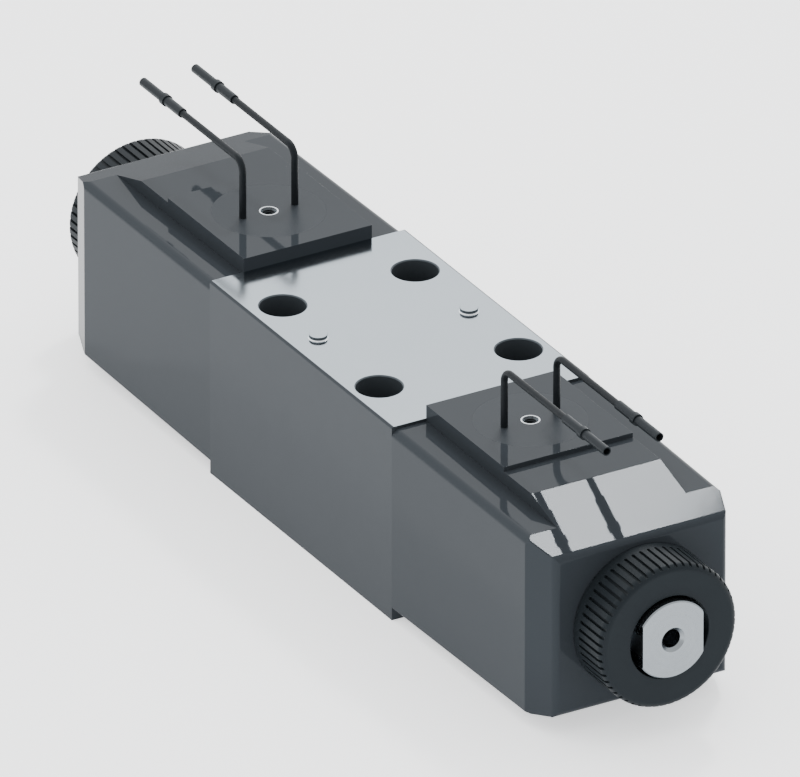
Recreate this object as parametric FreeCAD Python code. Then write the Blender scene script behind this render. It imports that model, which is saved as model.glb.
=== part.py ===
"""Proportional directional valve, size NG6, with two solenoids.

Frame: X along the spool, Y across, Z up. The origin is the middle of the mounting face.
The side at +X has the suffix _b and the side at -X has the suffix _a. All sizes are in mm.
"""
import FreeCAD
import Part
import math
import os

Vector = FreeCAD.Vector
X_AXIS = Vector(1, 0, 0)
Y_AXIS = Vector(0, 1, 0)
Z_AXIS = Vector(0, 0, 1)

# How far a cutter runs past the face that it opens, and a wedge past what it slopes
overrun = 1.0
wedge_overrun = 5.0

# Valve body
body_length = 74.0
body_width = 46.0
body_height = 44.0
body_edge = 0.5
spool_axis_z = 23.0

# Fixing screws: pitch 31 on side a, 32.5 on side b, after the standard size 03 pattern
screw_row_x = 20.25
screw_pitch_a = 31.0
screw_pitch_b = 32.5
screw_hole_d = 5.3
counterbore_d = 9.6
counterbore_depth = 22.0
counterbore_edge = 0.25

# Ports in the mounting face
port_d = 7.5
port_p_x = 1.25
port_p_y = -10.4
port_t_y = 10.4
port_a_x = -7.55
port_b_x = 9.95
seal_recess_d = 13.0
seal_recess_depth = 1.35
port_seal_section = 1.7
port_seal_gap = 0.1

# Inside of the body
spool_d = 12.0
spool_clearance = 0.02
groove_d = 17.0
groove_width = 4.0
tank_groove_pitch = 8.75
tank_gallery_d = 5.0
tank_gallery_y = 9.0
tank_gallery_z = 9.5
tank_riser_d = 4.0
tank_riser_y = 6.6
control_port_top = 15.6

# Small raised bosses on the top face
boss_d = 3.75
boss_height = 0.85
boss_foot = 0.25
boss_a_x = -4.4
boss_a_y = -16.3
boss_b_x = 0.7
boss_b_y = 16.0

# Spool
spool_travel = 2.5
land_overlap = 1.2
neck_d = 8.0
notch_length = 1.0
notch_depth = 0.9
notch_width = 1.6
notch_count = 4
notch_turn = 45.0
end_land_offset = 0.5
end_land_setback = 1.0
shoulder_d = 8.4
spigot_d = 6.0
spigot_proud = 2.0
spool_edge = 0.2

# Spring seat and centring spring
seat_d = 13.2
seat_thickness = 2.0
seat_lip_d = 8.6
seat_lip = 1.0
seat_stop_gap = 0.5
spring_wire = 1.2
spring_mean_d = 10.4
spring_turns = 5.0
spring_end_gap = 0.05

# Pole piece and pressure tube
socket_d = 22.0
socket_depth = 11.0
socket_fit = 0.05
pole_root_setback = 0.2
pole_length = 32.0
spring_chamber_d = 14.4
spring_chamber_depth = 17.0
pole_spigot_length = 4.0
pole_recess_d = 13.2
pole_recess_depth = 2.5
tube_d = 19.0
tube_wall = 1.5
tube_proud = 1.2
tube_fit = 0.05
tube_seal_section = 1.3
tube_seal_setback = 2.5

# Armature and push pin
armature_clearance = 0.1
armature_length = 22.0
armature_gap = 0.3
armature_nose_d = 12.4
armature_vent_d = 1.6
armature_vent_pitch_d = 8.4
armature_edge = 0.4
push_pin_d = 4.0
push_pin_clearance = 0.06
push_pin_grip = 6.0

# End plug and manual override
plug_gap = 0.5
plug_chamber_d = 8.0
plug_chamber_depth = 6.0
stud_d = 17.0
stud_proud = 1.4
stud_edge = 0.25
flat_width = 14.0
flat_length = 5.4
override_hole_d = 4.0
override_countersink_d = 5.4
override_countersink_depth = 0.7
override_clearance = 0.05
override_travel = 2.0
override_recess = 5.0
override_collar_d = 7.2
override_collar = 1.6
override_stop_gap = 0.1
override_tip_gap = 0.2
override_seal_section = 1.1
override_seal_setback = 3.0

# Coil housing
coil_length = 60.3
coil_width = body_width
coil_bottom = 3.0
coil_top = 43.0
coil_draft = 0.5
coil_edge = 2.0
coil_low_edge = 0.4
coil_end_edge = 1.2
ridge_width = 30.0
ridge_top = 46.0
ridge_edge = 0.15
ridge_setback = 6.0
pad_top = 47.0
pad_length = 31.2
pad_edge = 0.15
end_slope = 17.0
end_slope_start = 42.2
side_slope = 19.0
side_slope_length = 7.5
bottom_slope = 13.0
bottom_slope_length = 6.0
coil_bore_d = 19.6
cavity_d = 36.0
cavity_start = 2.5
cavity_length = 52.0
ring_seal_d = 23.8
ring_seal_section = 1.7
ring_seal_gap = 0.1

# Inside of the coil
inner_gap = 0.05
yoke_wall = 1.5
yoke_end = 3.5
bobbin_wall = 1.2
bobbin_flange = 1.5
winding_depth = 4.6

# Potting disc, threaded insert, leads and ferrules
lead_exit_x = 16.0
lead_pitch = 12.2
disc_d = 23.5
disc_thickness = 2.0
insert_d = 4.0
insert_hole_d = 2.5
insert_length = 4.6
lead_d = 1.5
lead_rise = 11.0
lead_bend_run = 1.4
lead_bend_angles = (60.0, 30.0)
lead_arc_share = 0.45
lead_reach = 40.9
ferrule_tube_d = 1.95
ferrule_bore_d = 1.5
ferrule_tube_length = 7.8
ferrule_collar_d = 2.55
ferrule_collar = 2.2
ferrule_sleeve_d = 2.05
ferrule_sleeve = 6.3
ferrule_mouth_gap = 0.1
ferrule_mouth_depth = 2.5

# Knurled nut
nut_d = 31.8
nut_length = 11.3
nut_face_d = 28.6
nut_rim = 1.5
nut_back_edge = 0.5
nut_thread_clearance = 0.05
nut_relief_depth = 1.7
nut_relief_d = 19.6
nut_recess_d = 18.6
nut_recess_depth = 4.6
knurl_count = 56
knurl_width = 0.85
knurl_depth = 0.6
knurl_start = 1.6

# Places along the side at +X, worked out from the sizes above
face_x = body_length / 2
socket_x = face_x - socket_depth
chamber_end_x = socket_x + spring_chamber_depth
pole_end_x = socket_x + pole_length
pole_spigot_x = pole_end_x - pole_spigot_length
seat_x = socket_x + spool_travel + seat_stop_gap
seat_end_x = seat_x + seat_thickness
spigot_end_x = seat_end_x + spigot_proud
armature_x = pole_end_x + spool_travel + armature_gap
armature_tip_x = armature_x - pole_recess_depth
armature_end_x = armature_x + armature_length
plug_x = armature_end_x + spool_travel + plug_gap
plug_chamber_end_x = plug_x + plug_chamber_depth
coil_end_x = face_x + coil_length
tube_end_x = coil_end_x + tube_proud
nut_end_x = coil_end_x + nut_length
stud_end_x = nut_end_x + stud_proud
exit_x = face_x + lead_exit_x
ferrule_length = ferrule_tube_length + ferrule_collar + ferrule_sleeve
tube_bore_d = tube_d - 2 * tube_wall


def box(x0, x1, y0, y1, z0, z1):
    """A box between two corners."""
    return Part.makeBox(x1 - x0, y1 - y0, z1 - z0, Vector(x0, y0, z0))


def rod(diameter, x0, x1, y=0.0, z=spool_axis_z):
    """A cylinder along X."""
    return Part.makeCylinder(diameter / 2, x1 - x0, Vector(x0, y, z), X_AXIS)


def post(diameter, z0, z1, x, y):
    """A cylinder along Z."""
    return Part.makeCylinder(diameter / 2, z1 - z0, Vector(x, y, z0), Z_AXIS)


def cone(d0, d1, x0, x1):
    """A cone on the spool axis."""
    return Part.makeCone(d0 / 2, d1 / 2, x1 - x0, Vector(x0, 0, spool_axis_z), X_AXIS)


def pipe(outer_d, inner_d, x0, x1):
    """A tube on the spool axis."""
    return rod(outer_d, x0, x1).cut(rod(inner_d, x0, x1))


def turned(outline, y=0.0, z=spool_axis_z):
    """Turn an outline of (x, radius) points round an axis along X."""
    points = [Vector(x, y, z + r) for x, r in outline]
    points.append(points[0])
    face = Part.Face(Part.makePolygon(points))
    return face.revolve(Vector(0, y, z), X_AXIS, 360)


def ring(mean_d, section, x):
    """An O-ring on the spool axis."""
    return Part.makeTorus(mean_d / 2, section / 2, Vector(x, 0, spool_axis_z), X_AXIS)


def slab(outline, y0, y1):
    """Extrude an outline of (x, z) points across the valve."""
    points = [Vector(x, y0, z) for x, z in outline]
    points.append(points[0])
    return Part.Face(Part.makePolygon(points)).extrude(Vector(0, y1 - y0, 0))


def edges_where(shape, test):
    """Edges of a shape whose bounding box passes a test."""
    return [edge for edge in shape.Edges if test(edge.BoundBox)]


def same(a, b):
    """True for two equal lengths."""
    return abs(a - b) < 1e-4


def port_places():
    """Each port's name with its place in the mounting face."""
    return {
        "p": (port_p_x, port_p_y),
        "t": (port_p_x, port_t_y),
        "a": (port_a_x, 0.0),
        "b": (port_b_x, 0.0),
    }


def screw_places():
    """Places of the four fixing screws."""
    return [
        (-screw_row_x, -screw_pitch_a / 2),
        (-screw_row_x, screw_pitch_a / 2),
        (screw_row_x, -screw_pitch_b / 2),
        (screw_row_x, screw_pitch_b / 2),
    ]


def tank_places():
    """The two tank grooves along X, outside the control grooves."""
    return [port_a_x - tank_groove_pitch, port_b_x + tank_groove_pitch]


def screw_cutter(x, y):
    """Through hole and counterbore of one fixing screw."""
    floor_z = body_height - counterbore_depth
    hole = post(screw_hole_d, -overrun, floor_z + overrun, x, y)
    seat = post(counterbore_d, floor_z, body_height + overrun, x, y)
    flare = Part.makeCone(
        counterbore_d / 2,
        counterbore_d / 2 + counterbore_edge,
        counterbore_edge,
        Vector(x, y, body_height - counterbore_edge),
    )
    return hole.fuse([seat, flare])


def top_boss(x, y):
    """One small raised boss of the top face, with a bevelled foot."""
    stud = post(boss_d, body_height - overrun, body_height + boss_height, x, y)
    foot = Part.makeCone(
        boss_d / 2 + boss_foot,
        boss_d / 2,
        boss_foot,
        Vector(x, y, body_height),
    )
    return stud.fuse(foot)


def body_passages():
    """Spool bore, ring grooves, port drillings, tank gallery and the two tube sockets."""
    cutters = [rod(spool_d, -socket_x, socket_x)]
    for x in [port_p_x, port_a_x, port_b_x] + tank_places():
        cutters.append(rod(groove_d, x - groove_width / 2, x + groove_width / 2))
    for name, (x, y) in port_places().items():
        tops = {"p": spool_axis_z, "t": tank_gallery_z + tank_gallery_d / 2}
        cutters.append(post(port_d, -overrun, tops.get(name, control_port_top), x, y))
        cutters.append(post(seal_recess_d, -overrun, seal_recess_depth, x, y))
    tank_a_x, tank_b_x = tank_places()
    reach = tank_gallery_d / 2
    cutters.append(
        rod(tank_gallery_d, tank_a_x - reach, tank_b_x + reach, tank_gallery_y, tank_gallery_z)
    )
    for x in tank_places():
        cutters.append(post(tank_riser_d, tank_gallery_z, spool_axis_z, x, tank_riser_y))
    for x0, x1 in [(-face_x - overrun, -socket_x), (socket_x, face_x + overrun)]:
        cutters.append(rod(socket_d, x0, x1))
    return cutters


def valve_body():
    """Cast body with machined faces."""
    half = body_width / 2
    block = box(-face_x, face_x, -half, half, 0, body_height)
    long_tops = edges_where(block, lambda b: same(b.ZMin, body_height) and same(b.YLength, 0))
    block = block.makeFillet(body_edge, long_tops)
    cutters = body_passages()
    cutters += [screw_cutter(x, y) for x, y in screw_places()]
    bosses = [top_boss(boss_a_x, boss_a_y), top_boss(boss_b_x, boss_b_y)]
    return block.cut(cutters).fuse(bosses)


def port_seals():
    """Four O-rings in the mounting face, squeezed flush as on a subplate."""
    rings = []
    squeezed = (seal_recess_depth - port_seal_gap) / 2
    for x, y in port_places().values():
        mean_r = seal_recess_d / 2 - port_seal_gap - port_seal_section / 2
        centre = Vector(x + mean_r, y, seal_recess_depth / 2)
        section = Part.Ellipse(centre, port_seal_section / 2, squeezed)
        section.rotate(FreeCAD.Placement(centre, X_AXIS, 90))
        face = Part.Face(Part.Wire(section.toShape()))
        rings.append(face.revolve(Vector(x, y, 0), Z_AXIS, 360))
    return Part.makeCompound(rings)


def notch_cutters(edge_x, inward):
    """Metering notches round one land edge; inward is +1 or -1, towards the land's middle."""
    cutters = []
    r = spool_d / 2
    outside_x = edge_x - inward * overrun
    outline = [
        (outside_x, r + overrun),
        (edge_x + inward * notch_length, r + overrun),
        (edge_x + inward * notch_length, r - spool_clearance),
        (edge_x, r - notch_depth),
        (outside_x, r - notch_depth),
    ]
    points = [(x, spool_axis_z + height) for x, height in outline]
    tool = slab(points, -notch_width / 2, notch_width / 2)
    for i in range(notch_count):
        turn = 360.0 * i / notch_count + notch_turn
        copy = tool.copy()
        copy.rotate(Vector(0, 0, spool_axis_z), X_AXIS, turn)
        cutters.append(copy)
    return cutters


def spool():
    """Four-land spool with metering notches, shoulders and end spigots."""
    land_d = spool_d - 2 * spool_clearance
    half_land = groove_width / 2 + land_overlap
    land_end_x = socket_x - end_land_setback
    tank_a_x, tank_b_x = tank_places()
    guide_start = groove_width / 2 + end_land_offset
    solids = [
        rod(neck_d, -land_end_x, land_end_x),
        rod(land_d, -land_end_x, tank_a_x - guide_start),
        rod(land_d, tank_b_x + guide_start, land_end_x),
        rod(shoulder_d, -seat_x, seat_x),
        rod(spigot_d, -spigot_end_x, spigot_end_x),
    ]
    cutters = []
    for x in (port_a_x, port_b_x):
        solids.append(rod(land_d, x - half_land, x + half_land))
        cutters += notch_cutters(x - half_land, 1)
        cutters += notch_cutters(x + half_land, -1)
    shape = solids[0].fuse(solids[1:]).removeSplitter()
    tips = edges_where(shape, lambda b: same(b.XLength, 0) and same(abs(b.XMax), spigot_end_x))
    shape = shape.makeChamfer(spool_edge, tips)
    return shape.cut(cutters)


def spring_seat():
    """Flanged ring that the spool's shoulder pushes against the spring."""
    bore = spigot_d / 2 + tube_fit
    return turned([
        (seat_x, bore),
        (seat_x, seat_d / 2),
        (seat_end_x, seat_d / 2),
        (seat_end_x, seat_lip_d / 2),
        (seat_end_x + seat_lip, seat_lip_d / 2),
        (seat_end_x + seat_lip, bore),
    ])


def centering_spring():
    """Helical spring between its seat and the pole piece."""
    start_x = seat_end_x + spring_end_gap + spring_wire / 2
    end_x = chamber_end_x - spring_end_gap - spring_wire / 2
    length = end_x - start_x
    helix = Part.makeHelix(length / spring_turns, length, spring_mean_d / 2)
    profile = Part.Wire(Part.makeCircle(spring_wire / 2, Vector(spring_mean_d / 2, 0, 0), Y_AXIS))
    coil = Part.Wire(helix).makePipeShell([profile], True, True)
    coil.rotate(Vector(0, 0, 0), Y_AXIS, 90)
    coil.translate(Vector(start_x, 0, spool_axis_z))
    return coil


def pole_piece():
    """Magnetic root of the tube, screwed into the body, with the spring chamber."""
    seal_x = socket_x + tube_seal_setback
    seal_half = (tube_seal_section + ring_seal_gap) / 2
    groove_d_inner = socket_d - 2 * (tube_seal_section + ring_seal_gap)
    shape = rod(socket_d - 2 * socket_fit, socket_x, face_x - pole_root_setback)
    shape = shape.fuse([
        rod(tube_d, socket_x, pole_spigot_x),
        rod(tube_bore_d - 2 * tube_fit, socket_x, pole_end_x),
    ])
    return shape.cut([
        rod(spring_chamber_d, socket_x - overrun, chamber_end_x),
        rod(push_pin_d + 2 * push_pin_clearance, socket_x, pole_end_x + overrun),
        rod(pole_recess_d, pole_end_x - pole_recess_depth, pole_end_x + overrun),
        pipe(socket_d + overrun, groove_d_inner, seal_x - seal_half, seal_x + seal_half),
    ])


def tube_seal():
    """O-ring round the root of the pole piece."""
    mean_d = socket_d - tube_seal_section - ring_seal_gap
    return ring(mean_d, tube_seal_section - ring_seal_gap, socket_x + tube_seal_setback)


def pressure_tube():
    """Thin sleeve that the armature runs in."""
    return pipe(tube_d, tube_bore_d, pole_spigot_x, tube_end_x)


def armature():
    """Plunger with a nose that enters the pole recess, and two vents for the oil."""
    body_d = tube_bore_d - 2 * armature_clearance
    shape = rod(body_d, armature_x, armature_end_x).fuse(
        rod(armature_nose_d, armature_tip_x, armature_end_x)
    )
    ends = edges_where(shape, lambda b: same(b.XLength, 0) and same(b.YLength, body_d))
    shape = shape.makeChamfer(armature_edge, ends)
    start = armature_tip_x - overrun
    end = armature_end_x + overrun
    cutters = [rod(push_pin_d + 2 * tube_fit, start, armature_x + push_pin_grip)]
    for side in (-1, 1):
        y = side * armature_vent_pitch_d / 2
        cutters.append(rod(armature_vent_d, start, end, y))
    return shape.cut(cutters)


def push_pin():
    """Pin between the spool's end and the armature."""
    shape = rod(push_pin_d, spigot_end_x, armature_x + push_pin_grip)
    return shape.makeChamfer(spool_edge, [e for e in shape.Edges if same(e.BoundBox.XLength, 0)])


def override_seal_x():
    """Place of the override pin's O-ring."""
    return plug_chamber_end_x + override_seal_setback


def end_plug():
    """End stop of the tube: threaded stud for the nut, two flats and the override bore."""
    shape = rod(tube_bore_d - 2 * tube_fit, plug_x, stud_end_x).fuse(
        rod(stud_d, tube_end_x, stud_end_x)
    )
    rim = edges_where(shape, lambda b: same(b.XLength, 0) and same(b.XMax, stud_end_x))
    shape = shape.makeChamfer(stud_edge, rim)
    flat_x = stud_end_x - flat_length
    half = stud_d / 2 + overrun
    end = stud_end_x + overrun
    low = spool_axis_z - half
    high = spool_axis_z + half
    cheeks = box(flat_x, end, -half, half, low, high)
    cheeks = cheeks.cut(box(flat_x, end, -flat_width / 2, flat_width / 2, low, high))
    seal_groove_d = override_hole_d + 2 * (override_seal_section + ring_seal_gap)
    seal_half = (override_seal_section + ring_seal_gap) / 2
    seal_x = override_seal_x()
    return shape.cut([
        cheeks,
        rod(plug_chamber_d, plug_x - overrun, plug_chamber_end_x),
        rod(override_hole_d, plug_x, end),
        cone(
            override_hole_d, override_countersink_d,
            stud_end_x - override_countersink_depth, stud_end_x,
        ),
        rod(seal_groove_d, seal_x - seal_half, seal_x + seal_half),
    ])


def override_pin():
    """Push pin of the manual override, held in by its collar."""
    collar_end_x = plug_chamber_end_x - override_stop_gap
    tip_x = armature_end_x + spool_travel + override_tip_gap + override_travel
    pin_d = override_hole_d - 2 * override_clearance
    shape = rod(pin_d, tip_x, stud_end_x - override_recess)
    shape = shape.makeChamfer(spool_edge, [e for e in shape.Edges if same(e.BoundBox.XLength, 0)])
    return shape.fuse(rod(override_collar_d, collar_end_x - override_collar, collar_end_x))


def override_seal():
    """O-ring round the override pin."""
    mean_d = override_hole_d + override_seal_section + ring_seal_gap
    return ring(mean_d, override_seal_section - ring_seal_gap, override_seal_x())


def drafted_block(x0, x1):
    """Main block of the coil housing, drafted on its four long sides towards the end."""
    shrink = (x1 - x0) * math.tan(math.radians(coil_draft))
    wires = []
    for x, inset in ((x0, 0.0), (x1, shrink)):
        y = coil_width / 2 - inset
        low = coil_bottom + inset
        high = coil_top - inset
        corners = [(-y, low), (y, low), (y, high), (-y, high), (-y, low)]
        wires.append(Part.makePolygon([Vector(x, cy, cz) for cy, cz in corners]))
    return Part.makeLoft(wires, True, True)


def top_slope_cutter():
    """Wedge that slopes the end of the coil housing and its ridge at the top."""
    end = coil_end_x + wedge_overrun
    top_x = face_x + end_slope_start
    fall = (end - top_x) * math.tan(math.radians(end_slope))
    above = pad_top + wedge_overrun
    return slab(
        [(top_x, ridge_top), (end, ridge_top - fall), (end, above), (top_x, above)],
        -coil_width, coil_width,
    )


def low_and_side_cutters():
    """Wedges that slope the end of the coil housing at its bottom and its two sides."""
    out = wedge_overrun
    end = coil_end_x + out
    shrink = coil_length * math.tan(math.radians(coil_draft))

    bottom_x = coil_end_x - bottom_slope_length
    low = coil_bottom + shrink
    below = coil_bottom - out
    lean = math.tan(math.radians(bottom_slope))
    cutters = [slab([
        (bottom_x - out, low - out * lean),
        (end, low + (end - bottom_x) * lean),
        (end, below),
        (bottom_x - out, below),
    ], -coil_width, coil_width)]

    side_x = coil_end_x - side_slope_length
    y = coil_width / 2 - shrink
    lean = math.tan(math.radians(side_slope))
    for side in (-1, 1):
        corners = [
            (side_x - out, y + out * lean),
            (end, y - (end - side_x) * lean),
            (end, coil_width),
            (side_x - out, coil_width),
        ]
        points = [Vector(cx, side * cy, 0) for cx, cy in corners]
        points.append(points[0])
        face = Part.Face(Part.makePolygon(points))
        cutters.append(face.extrude(Vector(0, 0, pad_top + out)))
    return cutters


def corner_edges(shape, high):
    """Edges that run along the upper or the lower corners of the coil housing."""
    middle_z = (coil_bottom + coil_top) / 2
    corners = edges_where(
        shape,
        lambda b: b.XLength > max(b.ZLength, coil_draft) and abs(b.Center.y) > ridge_width / 2,
    )
    return [edge for edge in corners if (edge.BoundBox.Center.z > middle_z) == high]


def main_block():
    """Sloped main block: rounded top corners and end rim, nearly sharp bottom corners."""
    shape = drafted_block(face_x, coil_end_x).cut([top_slope_cutter()] + low_and_side_cutters())
    shape = shape.makeFillet(coil_edge, corner_edges(shape, True))
    rim = edges_where(shape, lambda b: same(b.XMin, coil_end_x))
    shape = shape.makeFillet(coil_end_edge, rim)
    return shape.makeFillet(coil_low_edge, corner_edges(shape, False))


def ridge_block():
    """Ridge on top of the main block; its lower end is buried in the block's slope."""
    half = ridge_width / 2
    shape = box(face_x, coil_end_x - ridge_setback, -half, half, spool_axis_z, ridge_top)
    shape = shape.cut(top_slope_cutter())
    tops = edges_where(
        shape,
        lambda b: b.XLength > overrun and b.ZMin > spool_axis_z and same(b.YLength, 0),
    )
    return shape.makeFillet(ridge_edge, tops)


def pad_block():
    """Raised pad on the ridge, next to the valve body."""
    half = ridge_width / 2
    shape = box(face_x, face_x + pad_length, -half, half, ridge_top - overrun, pad_top)
    rim = edges_where(shape, lambda b: same(b.ZMin, pad_top) and not same(b.XMax, face_x))
    return shape.makeFillet(pad_edge, rim)


def coil_block():
    """Outer form of the coil housing, before its bores."""
    return main_block().fuse([ridge_block(), pad_block()]).removeSplitter()


def coil_shell():
    """Moulded coil housing with ridge, pad, bore and the room for the coil."""
    seal_width = ring_seal_section + 2 * ring_seal_gap
    return coil_block().cut([
        rod(coil_bore_d, face_x - overrun, coil_end_x + overrun),
        rod(cavity_d, face_x + cavity_start, face_x + cavity_start + cavity_length),
        pipe(
            ring_seal_d + seal_width, ring_seal_d - seal_width,
            face_x - overrun, face_x + ring_seal_section + ring_seal_gap,
        ),
        post(disc_d, pad_top - disc_thickness, pad_top + overrun, exit_x, 0),
        post(insert_d + 2 * inner_gap, pad_top - insert_length, pad_top + overrun, exit_x, 0),
    ])


def coil_seal():
    """O-ring between the coil and the valve body."""
    return ring(ring_seal_d, ring_seal_section, face_x + ring_seal_section / 2 + inner_gap)


def yoke():
    """Steel cup that carries the magnetic flux round the winding."""
    start = face_x + cavity_start + inner_gap
    end = face_x + cavity_start + cavity_length - inner_gap
    outer = cavity_d - 2 * inner_gap
    return turned([
        (start, outer / 2),
        (end, outer / 2),
        (end, coil_bore_d / 2),
        (end - yoke_end, coil_bore_d / 2),
        (end - yoke_end, outer / 2 - yoke_wall),
        (start, outer / 2 - yoke_wall),
    ])


def yoke_washer():
    """Steel disc that closes the yoke at the valve body."""
    start = face_x + cavity_start + inner_gap
    outer = cavity_d - 4 * inner_gap - 2 * yoke_wall
    return pipe(outer, coil_bore_d, start, start + yoke_end)


def bobbin_span():
    """Start and end of the bobbin between the yoke's two end walls."""
    start = face_x + cavity_start + yoke_end + 2 * inner_gap
    end = face_x + cavity_start + cavity_length - yoke_end - 2 * inner_gap
    return start, end


def bobbin():
    """Moulded bobbin with two flanges."""
    start, end = bobbin_span()
    flange = cavity_d / 2 - yoke_wall - 2 * inner_gap
    tube = coil_bore_d / 2 + bobbin_wall
    return turned([
        (start, coil_bore_d / 2),
        (start, flange),
        (start + bobbin_flange, flange),
        (start + bobbin_flange, tube),
        (end - bobbin_flange, tube),
        (end - bobbin_flange, flange),
        (end, flange),
        (end, coil_bore_d / 2),
    ])


def winding():
    """Copper winding on the bobbin, as one solid ring."""
    start, end = bobbin_span()
    inner = coil_bore_d + 2 * bobbin_wall + 2 * inner_gap
    inset = bobbin_flange + inner_gap
    return pipe(inner + 2 * winding_depth, inner, start + inset, end - inset)


def potting_disc():
    """Disc that seals the lead exit, flush with the pad."""
    floor_z = pad_top - disc_thickness
    disc = post(disc_d - 2 * inner_gap, floor_z, pad_top, exit_x, 0)
    hole = post(insert_d + 2 * inner_gap, floor_z - overrun, pad_top + overrun, exit_x, 0)
    return disc.cut(hole)


def pad_insert():
    """Brass insert with a fixing thread in the middle of the pad."""
    floor_z = pad_top - insert_length
    bush = post(insert_d, floor_z, pad_top, exit_x, 0)
    return bush.cut(post(insert_hole_d, floor_z - overrun, pad_top + overrun, exit_x, 0))


def lead_route(y):
    """Route of one lead: straight up, a tight bend over three turns, straight outwards."""
    points = [Vector(exit_x, y, pad_top), Vector(exit_x, y, pad_top + lead_rise)]
    for angle in lead_bend_angles:
        run = math.radians(angle)
        step = Vector(math.cos(run), 0, math.sin(run)) * lead_bend_run
        points.append(points[-1] + step)
    end_x = exit_x + lead_reach - ferrule_length + ferrule_mouth_depth
    points.append(Vector(end_x, y, points[-1].z))
    return points


def lead_radii(points):
    """Radius of each arc of a route, from its two runs and its turn."""
    radii = []
    for before, here, after in zip(points, points[1:], points[2:]):
        turn = (here - before).getAngle(after - here)
        run = min((here - before).Length, (after - here).Length)
        radii.append(lead_arc_share * run / math.tan(turn / 2))
    return radii


def lead_path(points):
    """Straight runs joined by tangent arcs."""
    edges = []
    start = points[0]
    radii = lead_radii(points)
    for (before, here, after), radius in zip(zip(points, points[1:], points[2:]), radii):
        incoming = (here - before).normalize()
        outgoing = (after - here).normalize()
        turn = incoming.getAngle(outgoing)
        setback = radius * math.tan(turn / 2)
        arc_start = here - incoming * setback
        arc_end = here + outgoing * setback
        bisector = (outgoing - incoming).normalize()
        middle = here + bisector * (radius / math.cos(turn / 2) - radius)
        edges.append(Part.LineSegment(start, arc_start).toShape())
        edges.append(Part.Arc(arc_start, middle, arc_end).toShape())
        start = arc_end
    edges.append(Part.LineSegment(start, points[-1]).toShape())
    return Part.Wire(edges)


def lead(y):
    """One flying lead."""
    points = lead_route(y)
    path = lead_path(points)
    profile = Part.Wire(Part.makeCircle(lead_d / 2, points[0], Z_AXIS))
    shape = path.makePipeShell([profile], True, False)
    section = math.pi * lead_d ** 2 / 4
    print("lead radii", [round(r, 2) for r in lead_radii(points)],
          "length", round(path.Length, 2),
          "volume ratio", round(shape.Volume / (section * path.Length), 4))
    return shape


def ferrule(y):
    """Crimped end ferrule: open tube, collar and rear sleeve, turned as one piece."""
    z = lead_route(y)[-1].z
    tip = exit_x + lead_reach
    collar_x = tip - ferrule_tube_length
    sleeve_x = collar_x - ferrule_collar
    mouth_x = sleeve_x - ferrule_sleeve
    bore = lead_d / 2 + ferrule_mouth_gap / 2
    shape = turned([
        (tip, 0),
        (tip, ferrule_tube_d / 2),
        (collar_x, ferrule_tube_d / 2),
        (collar_x, ferrule_collar_d / 2),
        (sleeve_x, ferrule_collar_d / 2),
        (sleeve_x, ferrule_sleeve_d / 2),
        (mouth_x, ferrule_sleeve_d / 2),
        (mouth_x, bore),
        (mouth_x + ferrule_mouth_depth, bore),
        (mouth_x + ferrule_mouth_depth, 0),
    ], y, z)
    return shape.cut(rod(ferrule_bore_d, collar_x, tip + overrun, y, z))


def knurl_cutter():
    """One groove of the knurl: flat floor, straight walls and a round end at the coil side."""
    start = coil_end_x + knurl_start + knurl_width / 2
    end = nut_end_x + overrun
    z0 = spool_axis_z + nut_d / 2 - knurl_depth
    z1 = spool_axis_z + nut_d / 2 + overrun
    half = knurl_width / 2
    path = [
        Part.LineSegment(Vector(start, half, z0), Vector(end, half, z0)).toShape(),
        Part.LineSegment(Vector(end, half, z0), Vector(end, -half, z0)).toShape(),
        Part.LineSegment(Vector(end, -half, z0), Vector(start, -half, z0)).toShape(),
        Part.Arc(
            Vector(start, -half, z0),
            Vector(start - half, 0, z0),
            Vector(start, half, z0),
        ).toShape(),
    ]
    return Part.Face(Part.Wire(path)).extrude(Vector(0, 0, z1 - z0))


def knurled_nut():
    """Coil nut, screwed on the stud, with straight grooves that run out at the front rim."""
    outer = nut_d / 2
    rim_height = outer - nut_face_d / 2
    corner = 1 - math.cos(math.radians(45))
    shape = turned([
        (coil_end_x, nut_relief_d / 2),
        (coil_end_x, outer - nut_back_edge),
        (coil_end_x + nut_back_edge, outer),
        (nut_end_x - nut_rim, outer),
        (nut_end_x - nut_rim * corner, outer - rim_height * corner),
        (nut_end_x, nut_face_d / 2),
        (nut_end_x, nut_recess_d / 2),
        (nut_end_x - nut_recess_depth, nut_recess_d / 2),
        (nut_end_x - nut_recess_depth, stud_d / 2 + nut_thread_clearance),
        (coil_end_x + nut_relief_depth, stud_d / 2 + nut_thread_clearance),
        (coil_end_x + nut_relief_depth, nut_relief_d / 2),
    ])
    seal_width = ring_seal_section + 2 * ring_seal_gap
    cutters = [pipe(
        ring_seal_d + seal_width, ring_seal_d - seal_width,
        coil_end_x - overrun, coil_end_x + ring_seal_section + ring_seal_gap,
    )]
    groove = knurl_cutter()
    for i in range(knurl_count):
        copy = groove.copy()
        copy.rotate(Vector(0, 0, spool_axis_z), X_AXIS, 360.0 * i / knurl_count)
        cutters.append(copy)
    return shape.cut(cutters)


def nut_seal():
    """O-ring between the nut and the coil."""
    return ring(ring_seal_d, ring_seal_section, coil_end_x + ring_seal_section / 2 + inner_gap)


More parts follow.
